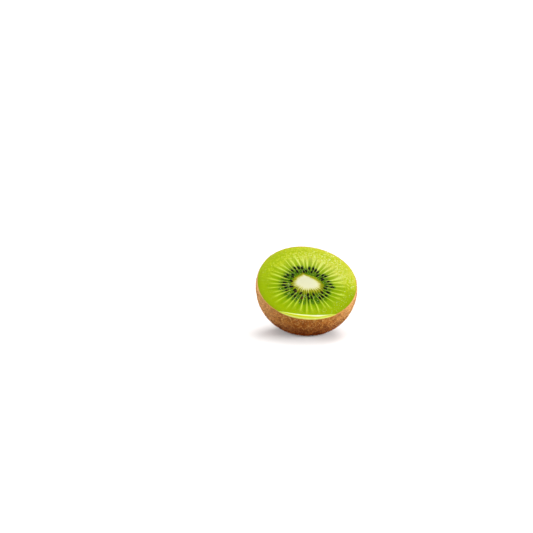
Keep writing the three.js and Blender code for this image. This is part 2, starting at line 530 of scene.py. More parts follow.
def ray_marks(cell, out, lower_side, cells):
    """The pale rays, each with a reach and a strength of its own."""
    number = np.round(cell) % cells
    starts = by_side(lower_side, *RAY_STARTS)
    ends = by_side(lower_side, *RAY_ENDS)
    ends = ends + RAY_END_SPREAD * (scatter(number, SILVER, 0.4) - 0.5)
    width = by_side(lower_side, *RAY_WIDTH)
    width = width + by_side(lower_side, *RAY_WIDTH_ADDED) * smooth(*RAY_WIDENS, out)
    strength = RAY_STRENGTH + RAY_STRENGTH_SPREAD * scatter(number, GOLDEN, 0.17)
    marks = strength * smooth(ends + RAY_FADE_AFTER, ends - RAY_FADE_BEFORE, out)
    started = smooth(starts - RAY_START_FADE, starts + RAY_START_FADE, out)
    marks = marks * (RAY_ROOT_STRENGTH + (1 - RAY_ROOT_STRENGTH) * started)
    return marks * np.exp(-(((cell - np.round(cell)) / width) ** 2))


def cell_marks(cell, out, lower_side, cells):
    """The wet cells between the rays, which narrow towards their outer ends."""
    number = np.floor(cell) % cells
    tip = by_side(lower_side, *CELL_TIPS)
    tip = tip + CELL_TIP_SPREAD * (scatter(number, PLASTIC, 0.6) - 0.5)
    narrowing = np.clip((tip - out) / (tip - CELL_WIDEST), 0, 1)
    room = CELL_WIDTH * narrowing ** by_side(lower_side, *CELL_BLUNTNESS)
    marks = smooth(0, CELL_EDGE, room - off_middle(cell)) * smooth(*CELL_STARTS, out)
    return marks * (1 - CELL_FADE * (1 - lower_side) * smooth(*CELL_FADES, out))


def off_middle(cell):
    """0 in the middle of a wet cell, and 1 at the rays beside it."""
    return np.abs(2 * (cell - np.floor(cell)) - 1)


def cut_marks(angle, out, place, look):
    """What each point of the cut shows, from 0 to 1. "core" is the pale middle, "septum" the pale
    rays, "locule" the wet cells between them, and "shade" the dark gel round the seeds. "meniscus" is
    the gel that climbs each seed. The angle and the share of the way out follow the rays, and place
    is where the point then lies."""
    cells = look.flesh.locules
    lower_side = (1 - np.cos(angle - math.radians(HIGHEST_SIDE))) / 2
    flat_side = side_of(angle, FLAT_SIDE, FLAT_SPREAD)
    ragged = waves(place / MM, RAGGED_SIZE, 2, 4.0)
    ways = (WANDER_ROUND * np.cos(angle), WANDER_ROUND * np.sin(angle), WANDER_OUT * out)
    cell = angle / TAU * cells + WANDER * waves(np.stack(ways, axis=-1), 1, octaves=2)
    across = off_middle(cell)

    core_edge = look.core.width / look.fruit.cut_width - CORE_INSET - CORE_FLAT * flat_side
    core_edge = core_edge + CORE_RAGGED * ragged
    core_edge = core_edge + CORE_PEAK * side_of(angle, PEAK_SIDE, PEAK_SPREAD)
    spike = SPIKE_SHORTEST + SPIKE_SPREAD * scatter(np.floor(cell) % cells, GOLDEN, 0.5)
    spike = across * spike - SPIKE_MIDDLE
    core_edge = core_edge + CORE_SPIKES * lower_side * spike
    soft = by_side(lower_side, *CORE_SOFT_OUT)
    core = 1 - smooth(core_edge - CORE_SOFT_IN, core_edge + soft, out)

    gel_ends = by_side(lower_side, *GEL_ENDS) + GEL_RAGGED * ragged
    gel_ends = gel_ends + GEL_POINTED * (0.5 - across) * lower_side
    gel_ends = gel_ends - GEL_FLAT * flat_side
    gel_ends = gel_ends - GEL_RIGHT * side_of(angle, RIGHT_SIDE, RIGHT_SPREAD)
    gel = smooth(*GEL_STARTS, out) * smooth(gel_ends + GEL_SOFT_OUT, gel_ends - GEL_SOFT_IN, out)
    nearest = seed_distance(place, look)
    halo = HALO_STRENGTH * smooth(*HALO, nearest)
    return {
        "core": core,
        "septum": ray_marks(cell, out, lower_side, cells) * (1 - core),
        "locule": cell_marks(cell, out, lower_side, cells) * (1 - core),
        "shade": np.maximum(gel, halo) * (1 - core),
        "meniscus": smooth(HALO[0], 0, nearest),
        "out": out,
    }


def seed_distance(place, look):
    """How far each point is from the nearest seed: 0 at its edge and 1 at twice its size."""
    far_off = 9.0
    nearest = np.full(len(place), far_off)
    seed_length, seed_width, _ = look.seeds.size
    for at, turn, size in seed_places(look):
        off = place - at
        along = off @ (math.cos(turn), math.sin(turn))
        aside = off @ (-math.sin(turn), math.cos(turn))
        distance = np.hypot(along / (size * seed_length), aside / (size * seed_width))
        nearest = np.minimum(nearest, 2 * distance - 1)
    return nearest


def cut_relief(marks, place, look):
    """Height of the flesh over the cut's plane at each point."""
    flesh, out = look.flesh, marks["out"]
    flat = np.column_stack((place, np.zeros(len(place))))
    relief = flesh.septum_rise * marks["septum"] - flesh.locule_sink * marks["locule"]
    relief = relief + MENISCUS_RISE * marks["meniscus"] * (1 - marks["core"])
    grain = flesh.grain_rise * waves(flat, GRAIN_SIZE, 3)
    relief = relief + grain * smooth(*GRAIN_SETS_IN, out)
    relief = relief + SWELL_RISE * waves(flat, SWELL_SIZE, 2, 7.0)
    return relief - RIM_DROP * smooth(*RIM_DROPS, out)


# ---------------------------------------------------------------------------------------------------
# Nodes
# ---------------------------------------------------------------------------------------------------


def put(tree, kind, inputs=(), **settings):
    """Adds a shader node. An input is given a plain value, or another node's socket to read."""
    node = tree.nodes.new("ShaderNode" + kind)
    for name, value in settings.items():
        setattr(node, name, value)
    for name, value in dict(inputs).items():
        if isinstance(value, bpy.types.NodeSocket):
            tree.links.new(value, node.inputs[name])
        else:
            node.inputs[name].default_value = value
    return node


def put_group(tree, name, inputs=()):
    return put(tree, "Group", inputs, node_tree=bpy.data.node_groups[name])


def blend(tree, factor, near, far, **settings):
    """The near colour where the factor is 0, and the far one where it is 1."""
    near, far = (c if isinstance(c, bpy.types.NodeSocket) else (*c, 1) for c in (near, far))
    inputs = {0: factor, 6: near, 7: far}
    return put(tree, "Mix", inputs, data_type="RGBA", **settings).outputs[2]


def calculate(tree, operation, *values):
    return put(tree, "Math", dict(enumerate(values)), operation=operation).outputs[0]


def times(tree, *factors):
    product = factors[0]
    for factor in factors[1:]:
        product = calculate(tree, "MULTIPLY", product, factor)
    return product


def rise(tree, value, low, high, to_low=0.0, to_high=1.0):
    """A smooth step of the value, from one number at low to the other at high."""
    inputs = {
        "Value": value,
        "From Min": low,
        "From Max": high,
        "To Min": to_low,
        "To Max": to_high,
    }
    return put(tree, "MapRange", inputs, interpolation_type="SMOOTHSTEP").outputs[0]


def mark(tree, name):
    return put(tree, "Attribute", attribute_name=name).outputs["Fac"]


def axis(tree, place, name):
    return put(tree, "SeparateXYZ", {"Vector": place}).outputs[name]


def bump(tree, height, distance):
    return put(tree, "Bump", {"Height": height, "Distance": distance}).outputs[0]


def mottle(tree, place, size, low, high):
    """Soft blotches of this size in millimetres, which rise from 0 at low to 1 at high."""
    inputs = {"Place": place, "Size": size, "Low": low, "High": high}
    return put_group(tree, "Mottle", inputs).outputs["Mask"]


def new_group(name, inputs, outputs):
    """A shader node group with these sockets, and the nodes at its two ends."""
    tree = bpy.data.node_groups.new(name, "ShaderNodeTree")
    for way, sockets in (("INPUT", inputs), ("OUTPUT", outputs)):
        for socket, kind in sockets.items():
            tree.interface.new_socket(
                socket, in_out=way, socket_type="NodeSocket" + kind
            )
    return tree, tree.nodes.new("NodeGroupInput"), tree.nodes.new("NodeGroupOutput")


# How far the pattern is drawn out: its turns round the rim and its steps outwards, for fibres that
# follow the rays and for grains that follow the rim.
DRAWN_OUT = (("Along Rays", 40, 0.4), ("Along Rim", 9, 1))


def fruit_place_group(fruit):
    """Puts out each point's place in the fruit's own frame in millimetres, and the same place drawn
    out along the rays, for fibres, and along the rim, for the grains between them."""
    sockets = {"Place": "Vector", "Along Rays": "Vector", "Along Rim": "Vector"}
    tree, _, end = new_group("Fruit Place", {}, sockets)
    location, rotation, _ = resting_place(fruit).decompose()
    inputs = {
        "Vector": put(tree, "TexCoord").outputs["Object"],
        "Location": location,
        "Rotation": rotation.to_euler(),
        "Scale": (MM, MM, MM),
    }
    place = put(tree, "Mapping", inputs, vector_type="TEXTURE").outputs[0]
    across = put(tree, "VectorMath", {0: place, 1: (1, 1, 0)}, operation="MULTIPLY")
    size = put(tree, "VectorMath", {0: across.outputs[0]}, operation="LENGTH")
    way = put(tree, "VectorMath", {0: across.outputs[0]}, operation="NORMALIZE")
    for name, round_rim, outwards in DRAWN_OUT:
        inputs = {0: way.outputs[0], "Scale": round_rim}
        turned_by = put(tree, "VectorMath", inputs, operation="SCALE").outputs[0]
        height = calculate(tree, "MULTIPLY", size.outputs["Value"], outwards)
        lifted = put(tree, "CombineXYZ", {"Z": height}).outputs[0]
        drawn = put(tree, "VectorMath", {0: turned_by, 1: lifted}, operation="ADD")
        tree.links.new(drawn.outputs[0], end.inputs[name])
    tree.links.new(place, end.inputs["Place"])


def mottle_group():
    """Puts out soft blotches of a size, as a mask that rises from 0 at low to 1 at high."""
    sockets = {"Place": "Vector", "Size": "Float", "Low": "Float", "High": "Float"}
    tree, start, end = new_group("Mottle", sockets, {"Mask": "Float"})
    inputs = {
        "Vector": start.outputs["Place"],
        "Scale": calculate(tree, "DIVIDE", 1, start.outputs["Size"]),
        "Detail": 3,
        "Roughness": 0.6,
    }
    cloud = put(tree, "TexNoise", inputs).outputs[0]
    mask = rise(tree, cloud, start.outputs["Low"], start.outputs["High"])
    tree.links.new(mask, end.inputs["Mask"])


# Blotches of the cut, the skin, the fuzz, the seeds and the juice: their size in millimetres, and the
# levels of the noise at which they are 0 and 1.
FIBRES, BLOTCHES, GRAINS = (1.2, 0.42, 0.62), (1.1, 0.45, 0.62), (0.5, 0.5, 0.72)
GLINT_DASHES, HOLLOWS = (0.5, 0.58, 0.7), (0.8, 0.5, 0.3)
STREAKS, SPARK_GLINTS = (0.7, 0.48, 0.62), (0.55, 0.61, 0.68)
SKIN_PITS, SKIN_PATCHES, FUZZ_PATCHES = (1.4, 0.52, 0.38), (9, 0.3, 0.7), (3, 0.35, 0.65)
SEED_PITS, JUICE_CLOUDS = (0.25, 0.4, 0.7), (2, 0.35, 0.65)

# Where parts of the cut's colour set in and are full, as shares of the way to the rim.
RIPE, LIME_OUT, FIBRES_OUT, GRAIN_OUT = (0.36, 0.6), (0.5, 0.76), (0.85, 0.65), (0.6, 0.75)
RIM_SHADE, RIM_LIGHT, OFF_RIM = (0.88, 0.99), (0.84, 0.97), (0.93, 0.8)

# The same from left to right, and from the lower to the upper side, in millimetres.
LIT_RIGHT, FAR_RIGHT, GLINT_RIGHT = (-20, 12), (2, 24), (-16, 14)
LIT_UP, GRAIN_UP, RIGHT_IN_UP = (-7, 9), (-14, 8), 0.2

# The same over how pale the flesh is, over how lit it is, and over the core's mark.
SUNNY, PALE, LIT = (0, 0.5), (0.3, 1), (0, 0.8)
OLIVE, STRAW, CREAM = (0, 0.15), (0.3, 0.65), (0.55, 1)

# How weak and how strong each of these gets.
LIT_LEFT_TO_RIGHT, LIT_IN_TO_OUT, MILKY_TO_PALE = (0.35, 1), (0.4, 1), (0.45, 1.15)
PALE_AT_RIM, RIM_SHADE_WHERE_LIT, GRAIN_LOW_TO_HIGH = (0.5, 1), (0.9, 0), (0.35, 1)
GRAIN_WHERE_LIT, GLINT_LEFT_TO_RIGHT = (0.1, 0.35), (0.12, 1)

# How strongly each part of the cut's pattern shows, from 0 to 1.
MILKY_GLOW, RIM_GLOW = 0.05, 0.7
HOLLOW_STRENGTH, STREAK_STRENGTH, SPARK_GLINT_STRENGTH = 0.4, 0.5, 0.65
CELL_STRENGTH, GEL_STRENGTH = 0.9, 0.85

WET_ROUGHNESS, DRY_ROUGHNESS = 0.14, 0.26


def cut_flesh_group(look):
    """The colour, roughness and fine relief of the cut, for the flesh and the core alike."""
    sockets = {"Colour": "Color", "Roughness": "Float", "Height": "Float"}
    tree, _, end = new_group("Cut Flesh", {}, sockets)
    flesh, core = look.flesh, look.core
    where = put_group(tree, "Fruit Place")
    place, along_rim = where.outputs["Place"], where.outputs["Along Rim"]
    right, up = axis(tree, place, "X"), axis(tree, place, "Y")
    core_mark, ray_mark = mark(tree, "core"), mark(tree, "septum")
    cell_mark, gel_mark = mark(tree, "locule"), mark(tree, "shade")
    out = mark(tree, "out")

    # The flesh pales towards the upper right, where the light comes through, and towards its fibres.
    upper_right = calculate(tree, "MULTIPLY_ADD", right, RIGHT_IN_UP, up)
    rightwards = rise(tree, right, *LIT_RIGHT, *LIT_LEFT_TO_RIGHT)
    ripe = rise(tree, out, *RIPE, *LIT_IN_TO_OUT)
    lit = times(tree, rise(tree, upper_right, *LIT_UP), rightwards, ripe)
    fibres = mottle(tree, where.outputs["Along Rays"], *FIBRES)
    outer_fibres = times(tree, fibres, rise(tree, out, *FIBRES_OUT))
    milky = calculate(tree, "MAXIMUM", outer_fibres, mottle(tree, place, *BLOTCHES))
    far_right = rise(tree, right, *FAR_RIGHT)
    off_rim = calculate(tree, "MAXIMUM", rise(tree, out, *OFF_RIM), far_right)
    milky_part = rise(tree, milky, 0, 1, *MILKY_TO_PALE)
    pale = times(tree, lit, milky_part, rise(tree, off_rim, 0, 1, *PALE_AT_RIM))
    pale = calculate(tree, "ADD", pale, times(tree, milky, MILKY_GLOW))
    shaded = blend(tree, rise(tree, out, *LIME_OUT), flesh.young, flesh.lime)
    outer = blend(tree, rise(tree, pale, *SUNNY), shaded, flesh.sunny)
    outer = blend(tree, rise(tree, pale, *PALE), outer, flesh.pale)
    unlit = rise(tree, lit, *LIT, *RIM_SHADE_WHERE_LIT)
    rim_shade = times(tree, rise(tree, out, *RIM_SHADE), unlit)
    outer = blend(tree, rim_shade, outer, flesh.deep)
    rim_light = times(tree, rise(tree, out, *RIM_LIGHT), lit, RIM_GLOW)
    outer = blend(tree, rim_light, outer, flesh.rim)

    # Its grain lies along the rim, and pales where it is lit: painted light.
    glint_dashes, grains = mottle(tree, along_rim, *GLINT_DASHES), mottle(tree, place, *GRAINS)
    upwards = rise(tree, up, *GRAIN_UP, *GRAIN_LOW_TO_HIGH)
    grain_zone = times(tree, rise(tree, out, *GRAIN_OUT), upwards)
    ray = blend(tree, lit, flesh.ray_lime, flesh.septum)
    hollows = times(tree, mottle(tree, along_rim, *HOLLOWS), grain_zone, HOLLOW_STRENGTH)
    outer = blend(tree, hollows, outer, flesh.gel)
    pale_grains = times(tree, grains, grain_zone, rise(tree, lit, 0, 1, *GRAIN_WHERE_LIT))
    outer = blend(tree, pale_grains, outer, ray)
    # On the right, the dashes along the rim are painted glints.
    glint_zone = rise(tree, right, *GLINT_RIGHT, *GLINT_LEFT_TO_RIGHT)
    glint_zone = times(tree, grain_zone, glint_zone)
    outer = blend(tree, times(tree, glint_dashes, glint_zone), outer, flesh.glint)

    # Wet cells, rays and the core lie over it.
    gel = blend(tree, gel_mark, flesh.gel, flesh.dark_gel)
    colour_out = blend(tree, times(tree, cell_mark, CELL_STRENGTH), outer, gel)
    dark_gel = times(tree, gel_mark, GEL_STRENGTH)
    colour_out = blend(tree, dark_gel, colour_out, flesh.dark_gel)
    streaks = times(tree, mottle(tree, place, *STREAKS), gel_mark, STREAK_STRENGTH)
    colour_out = blend(tree, streaks, colour_out, flesh.gel)
    colour_out = blend(tree, ray_mark, colour_out, ray)
    # Painted highlights: glinting sparks in the wet gel round the seeds.
    spark_glints = times(tree, mottle(tree, place, *SPARK_GLINTS), gel_mark, SPARK_GLINT_STRENGTH)
    colour_out = blend(tree, spark_glints, colour_out, flesh.glint)
    colour_out = blend(tree, rise(tree, core_mark, *OLIVE), colour_out, core.olive)
    colour_out = blend(tree, rise(tree, core_mark, *STRAW), colour_out, core.straw)
    colour_out = blend(tree, rise(tree, core_mark, *CREAM), colour_out, core.cream)

    wet = calculate(tree, "MAXIMUM", cell_mark, gel_mark)
    roughness = rise(tree, wet, 0, 1, DRY_ROUGHNESS, WET_ROUGHNESS)
    height = calculate(tree, "ADD", calculate(tree, "MAXIMUM", glint_dashes, fibres), grains)
    tree.links.new(colour_out, end.inputs["Colour"])
    tree.links.new(roughness, end.inputs["Roughness"])
    tree.links.new(height, end.inputs["Height"])


def new_material(name, **values):
    """A material with one Principled shader, whose plain values are given by socket name."""
    material = bpy.data.materials.new(name)
    material.use_nodes = True
    shader = material.node_tree.nodes["Principled BSDF"]
    for socket, value in values.items():
        shader.inputs[socket.replace("_", " ")].default_value = value
    return material, material.node_tree, shader


def fruit_material(name, look, **values):
    """The same, after the node groups that the fruit's materials share are made."""
    if "Fruit Place" not in bpy.data.node_groups:
        fruit_place_group(look.fruit)
        mottle_group()
        cut_flesh_group(look)
    return new_material(name, **values)


# ---------------------------------------------------------------------------------------------------
# Materials
# ---------------------------------------------------------------------------------------------------

# Heights above the ground, where the skin's painted shade ends, where its paler colour starts and is
# full, and where its painted sheen is full. The strengths go from 0 to 1.
PAINTED_SHADE_ENDS, PALER_STARTS, PALER_FULL, SHEEN_FULL = 14 * MM, 8 * MM, 20 * MM, 16 * MM
PALER_STRENGTH, SHEEN_STRENGTH = 0.45, 0.85
SHEEN_STARTS = 0.35  # 0 where the skin faces the eye, and 1 where it is seen from the side

# Relief that the materials add, in metres.
CUT_BUMP, SKIN_BUMP, SEED_BUMP = 0.08 * MM, 0.12 * MM, 0.02 * MM

# Flecks of the skin: how many cells there are in a millimetre, where a fleck starts and is full in
# its cell, and which cells have one.
FLECK_SCALE, FLECK_EDGE, FLECK_CELLS = 1.6, (0.7, 0.28), (0.2, 0.8)
FLECK_STRENGTH, PIT_STRENGTH, PATCH_STRENGTH, NUB_STRENGTH = 0.5, 0.7, 0.2, 0.8

# The knife's edge and the nub, in millimetres under the cut and over the blossom end.
CUT_EDGE, NUB_EDGE = (-0.5, -0.05), 1.5

# Tufts by their tint: where they turn pale and dark, and how far. Patches of them share a tint.
PALE_TUFTS, PALE_TIPS, DARK_TUFTS, DARK_HAIRS = (0.42, 0.78), (0, 1.6), (0.54, 0.28), (0, 0.9)
PATCH_TINT = 0.15

# Seeds by their tint, and their pits.
UNRIPE_SEEDS, SEED_ROUGHNESS, SEED_PIT_STRENGTH = (0.955, 0.97), (0.08, 0.18), 0.02

JUICE_EDGE_STRENGTH = (0.75, 1)


def cut_material(name, look, scatter_weight):
    material, tree, shader = fruit_material(
        name,
        look,
        IOR=1.36,
        Specular_IOR_Level=0.02,
        Subsurface_Weight=scatter_weight,
        Subsurface_Radius=(1.0, 1.3, 0.3),
        Subsurface_Scale=0.5 * MM,
    )
    cut = put_group(tree, "Cut Flesh")
    tree.links.new(cut.outputs["Colour"], shader.inputs["Base Color"])
    tree.links.new(cut.outputs["Roughness"], shader.inputs["Roughness"])
    normal = bump(tree, cut.outputs["Height"], CUT_BUMP)
    tree.links.new(normal, shader.inputs["Normal"])
    return material


def painted_shade_and_sheen(tree, colour_in, skin):
    """The colour with painted shade that darkens it near the ground, paler higher up, and with a
    painted sheen where the skin is seen from the side."""
    facing = put(tree, "LayerWeight", {"Blend": 0.5}).outputs["Facing"]
    above = axis(tree, put(tree, "TexCoord").outputs["Object"], "Z")
    # Painted shade: the colour darkens towards the ground.
    shaded = rise(tree, above, PAINTED_SHADE_ENDS, 0)
    colour_out = blend(tree, shaded, colour_in, skin.shade, blend_type="MULTIPLY")
    paler = rise(tree, above, PALER_STARTS, PALER_FULL, 0, PALER_STRENGTH)
    colour_out = blend(tree, paler, colour_out, skin.high)
    # Painted sheen where the skin is seen from the side, fading out towards the ground.
    sheen = times(tree, rise(tree, above, 0, SHEEN_FULL), SHEEN_STRENGTH)
    sheen = times(tree, rise(tree, facing, SHEEN_STARTS, 1), sheen)
    return blend(tree, sheen, colour_out, skin.sheen)


def specks(tree, place):
    """Small round spots, each of its own strength."""
    cells = put(tree, "TexVoronoi", {"Vector": place, "Scale": FLECK_SCALE})
    strength = put(tree, "SeparateColor", {"Color": cells.outputs["Color"]}).outputs[0]
    spot = rise(tree, cells.outputs["Distance"], *FLECK_EDGE)
    return times(tree, spot, rise(tree, strength, *FLECK_CELLS))


def skin_material(look):
    skin = look.skin
    material, tree, shader = fruit_material(
        "Fuzzy skin", look, Roughness=0.8, Specular_IOR_Level=0.05
    )
    place = put_group(tree, "Fruit Place").outputs["Place"]
    flecks = specks(tree, place)
    pits, patches = mottle(tree, place, *SKIN_PITS), mottle(tree, place, *SKIN_PATCHES)
    colour_out = blend(tree, times(tree, pits, PIT_STRENGTH), skin.brown, skin.dark)
    colour_out = blend(tree, times(tree, flecks, FLECK_STRENGTH), colour_out, skin.golden)
    colour_out = blend(tree, times(tree, patches, PATCH_STRENGTH), colour_out, skin.golden)

    height_in_fruit = axis(tree, place, "Z")
    cut_edge = rise(tree, height_in_fruit, *CUT_EDGE)
    colour_out = blend(tree, cut_edge, colour_out, skin.cut_edge)
    blossom_end = -look.fruit.depth / MM
    nub = rise(tree, height_in_fruit, blossom_end + NUB_EDGE, blossom_end)
    colour_out = blend(tree, times(tree, nub, NUB_STRENGTH), colour_out, skin.dark)
    tree.links.new(painted_shade_and_sheen(tree, colour_out, skin), shader.inputs["Base Color"])
    relief = calculate(tree, "SUBTRACT", flecks, pits)
    tree.links.new(bump(tree, relief, SKIN_BUMP), shader.inputs["Normal"])
    return material


def fuzz_material(look):
    """Most tufts are brown. Some have pale tips, and some are dark."""
    skin = look.skin
    material, tree, shader = fruit_material(
        "Fuzz", look, Roughness=0.7, Specular_IOR_Level=0.05
    )
    place = put_group(tree, "Fruit Place").outputs["Place"]
    patches = mottle(tree, place, *FUZZ_PATCHES)
    tint = calculate(tree, "MULTIPLY_ADD", patches, PATCH_TINT, mark(tree, "tint"))
    pale_tips = times(tree, mark(tree, "along"), rise(tree, tint, *PALE_TUFTS, *PALE_TIPS))
    colour_out = blend(tree, pale_tips, skin.hair_root, skin.hair_tip)
    dark_hairs = rise(tree, tint, *DARK_TUFTS, *DARK_HAIRS)
    colour_out = blend(tree, dark_hairs, colour_out, skin.dark)
    tree.links.new(painted_shade_and_sheen(tree, colour_out, skin), shader.inputs["Base Color"])
    return material


def seed_material(look):
    """Nearly black seeds, and the odd brown one."""
    seeds = look.seeds
    material, tree, shader = fruit_material(
        "Seed coat", look, IOR=1.45, Specular_IOR_Level=0.06
    )
    place = put_group(tree, "Fruit Place").outputs["Place"]
    pits = mottle(tree, place, *SEED_PITS)
    unripe = rise(tree, mark(tree, "tint"), *UNRIPE_SEEDS)
    colour_out = blend(tree, unripe, seeds.coat, seeds.brown_coat)
    browner = times(tree, pits, SEED_PIT_STRENGTH)
    colour_out = blend(tree, browner, colour_out, seeds.brown_coat)
    tree.links.new(colour_out, shader.inputs["Base Color"])
    tree.links.new(rise(tree, pits, 0, 1, *SEED_ROUGHNESS), shader.inputs["Roughness"])
    tree.links.new(bump(tree, pits, SEED_BUMP), shader.inputs["Normal"])
    return material


def juice_material(look):
    juice = look.juice
    material, tree, shader = fruit_material(
        "Juice",
        look,
        Roughness=0.06,
        IOR=1.35,
        Transmission_Weight=0.2,
        Specular_IOR_Level=0.15,
    )
    place = put_group(tree, "Fruit Place").outputs["Place"]
    clouds = mottle(tree, place, *JUICE_CLOUDS)
    # Painted light: the bead brightens at its edges where light gathers, and carries painted
    # highlights.
    edge = times(tree, mark(tree, "edge"), rise(tree, clouds, 0, 1, *JUICE_EDGE_STRENGTH))
    colour_out = blend(tree, edge, juice.clear, juice.bright)
    colour_out = blend(tree, mark(tree, "streak"), colour_out, juice.white)
    tree.links.new(colour_out, shader.inputs["Base Color"])
    return material


# ---------------------------------------------------------------------------------------------------
# Pieces
# ---------------------------------------------------------------------------------------------------

# Faces that stay hidden share this corner of the map that the colours are baked on. The cut fills
# the rest of it with a margin, and the skin is spread out round its blossom end.
HIDDEN_CORNER = 0.94
CUT_MARGIN, HIDDEN_WALL = 1.06, 0.1
SKIN_REACH, SKIN_ON_MAP, HIDDEN_SKIN = 0.52 * math.pi, 0.49, 0.05

# How far the flesh's wall lies inside the skin's outer side, over the skin's thickness.
WALL_INSET = 0.85

# The flesh sinks under the core, the core's dome rises from its edge inwards, and the core's skirt
# sinks into the flesh. Places are shares of the way to the rim, from the core's edge.
UNDER_CORE_SINK, UNDER_CORE_EDGE = 0.5 * MM, 0.03
DOME_STARTS, DOME_FULL = 0.03, -0.12
SKIRT_STARTS, SKIRT_ENDS, SKIRT_SINK = -0.02, 0.05, 0.25 * MM
CORE_GRAIN_RISE, CORE_GRAIN_SIZE = 0.03 * MM, 0.8 * MM

# An egg shape: how much slimmer and longer a seed is at its inner end, and how uneven it is.
SEED_SLIMMER, SEED_LONGER, SEED_UNEVENNESS, SEED_WAVES = 0.45, 0.06, 0.05, 6

# The skin's rounded edge at the cut: how far each ring lies inside the outer wall, over the skin's
# thickness, and how many millimetres under the cut.
SKIN_EDGE = ((1, 0.4), (0.5, 0.12), (0.3, 0.02), (0.12, 0.02), (0, 0.12))

# The skin's grain fades out towards its edge, its dents are broad and shallow, and its nub is rough.
SKIN_GRAIN_SIZE, GRAIN_FADES = 0.8 * MM, (0, -0.8 * MM)
DENT_RISE, DENT_SIZE = 0.12 * MM, 7 * MM
NUB_RINGS, NUB_ROUGHNESS = 8, 2.5

# Hairs: how far they lie over towards the cut and each its own way, the shortest over the longest,
# the height of a tuft over the longest hair, the thinnest hair over the thickest, and how far they
# stay from the ground and from the cut.
HAIR_DRAW = 7
HAIR_TO_CUT, HAIR_WILD = 0.45, 0.75
HAIR_SHORTEST, TUFT_HEIGHT, HAIR_THINNEST = 0.35, 0.7, 0.6
HAIR_ROOT_SINK, HAIR_OFF_GROUND, HAIR_OFF_CUT = 0.08 * MM, 0.05 * MM, 0.3 * MM
TIP_OFF_GROUND, FOOT_OFF_GROUND = 0.03 * MM, 0.01 * MM
TUFT_TINT = 0.8

# The bead of juice: where its middle lies in degrees round the fruit's axis, how far it reaches over
# the rim, how deep its underside is over its height, and how far it droops over the rim.
JUICE_MIDDLE, JUICE_OVER_RIM, JUICE_UNDERSIDE, JUICE_DROOP = 266.5, 0.15 * MM, 0.35, 0.35 * MM
JUICE_TAPER, JUICE_HUG = 1.6, 6

# Its bright edges, painted light where light gathers in the bead, by the share of the way inwards, and
# its painted highlights: the middle and the spread of each along the bead, the same inwards, and its
# strength.
JUICE_EDGES = ((0.58, 0.72), (0.32, 0.17))
JUICE_HIGHLIGHTS = ((0.42, 0.22, 0.72, 0.18, 1), (-0.1, 0.45, 0.8, 0.1, 0.6))


def flesh_mesh(look, sides=720, rings=90, wall_rings=16):
    """The flesh as one closed body: the cut with its relief, and the wall that the skin covers."""
    fruit = look.fruit
    rim_width = flesh_width(fruit)
    shares = [0, 0.07, 0.14, *np.linspace(0.2, 1, rings)]
    cut = [(share_out * rim_width / 2, 0) for share_out in shares]
    wall = []
    for height in barrel_heights(fruit, wall_rings)[1:]:
        radius = barrel_width(height, fruit) / 2 - WALL_INSET * fruit.skin_thickness
        wall.append((radius, height))
    bottom = [(0, -fruit.depth + fruit.skin_thickness)]
    mesh = mesh_of(turned(cut + wall + bottom, sides), "Flesh")

    points = points_of(mesh)
    angle, radius = around_axis(points)
    on_top = points[:, 2] > -SAME_PLACE
    out = np.where(on_top, radius / (rim_width / 2), 1)
    walls = on_oval(angle, 2 * radius, fruit.cut_oval, LOBES)
    places = np.where(on_top[:, None], on_cut(angle, out, look), walls)
    marks = cut_marks(angle, out, places, look)
    points[:, :2] = places
    core_edge = look.core.width / fruit.cut_width
    under_core = UNDER_CORE_SINK * smooth(core_edge, core_edge - UNDER_CORE_EDGE, out)
    points[:, 2] += on_top * (cut_relief(marks, places, look) - under_core)
    move_points(mesh, points)
    mark_points(mesh, **marks)

    map_width = CUT_MARGIN * fruit.cut_width
    on_map = places / map_width + 0.5
    hidden = walls / map_width * HIDDEN_WALL + HIDDEN_CORNER
    mark_map(mesh, np.where(on_top[:, None], on_map, hidden))
    lay_down(mesh, fruit, SKIN_OUTSIDE * fruit.skin_thickness)
    return mesh


def core_mesh(look, sides=360, rings=44):
    """The core as a closed pad, rooted in the flesh, that sinks into it past its own edge."""
    fruit, core = look.fruit, look.core
    rim_width = flesh_width(fruit)
    core_edge = core.width / fruit.cut_width
    skirt = core_edge + SKIRT_ENDS
    top = [(share_out * rim_width / 2, 0) for share_out in np.linspace(0, skirt, rings)]
    edge = top[-1][0]
    root = [(edge, -core.root / 2), (edge, -core.root), (edge / 2, -core.root), (0, -core.root)]
    mesh = mesh_of(turned(top + root, sides), "Core")

    points = points_of(mesh)
    angle, radius = around_axis(points)
    out = radius / (rim_width / 2)
    places = on_cut(angle, out, look)
    marks = cut_marks(angle, out, places, look)
    flat = np.column_stack((places, np.zeros(len(places))))
    dome = core.rise * smooth(core_edge + DOME_STARTS, core_edge + DOME_FULL, out)
    dome = dome + CORE_GRAIN_RISE * waves(flat, CORE_GRAIN_SIZE, 3, 2.0)
    dome = dome - SKIRT_SINK * smooth(core_edge + SKIRT_STARTS, skirt, out)
    on_top = points[:, 2] > -SAME_PLACE
    points[:, :2] = places
    points[:, 2] += on_top * (dome + cut_relief(marks, places, look))
    move_points(mesh, points)
    mark_points(mesh, **marks)
    lay_down(mesh, fruit)
    return mesh


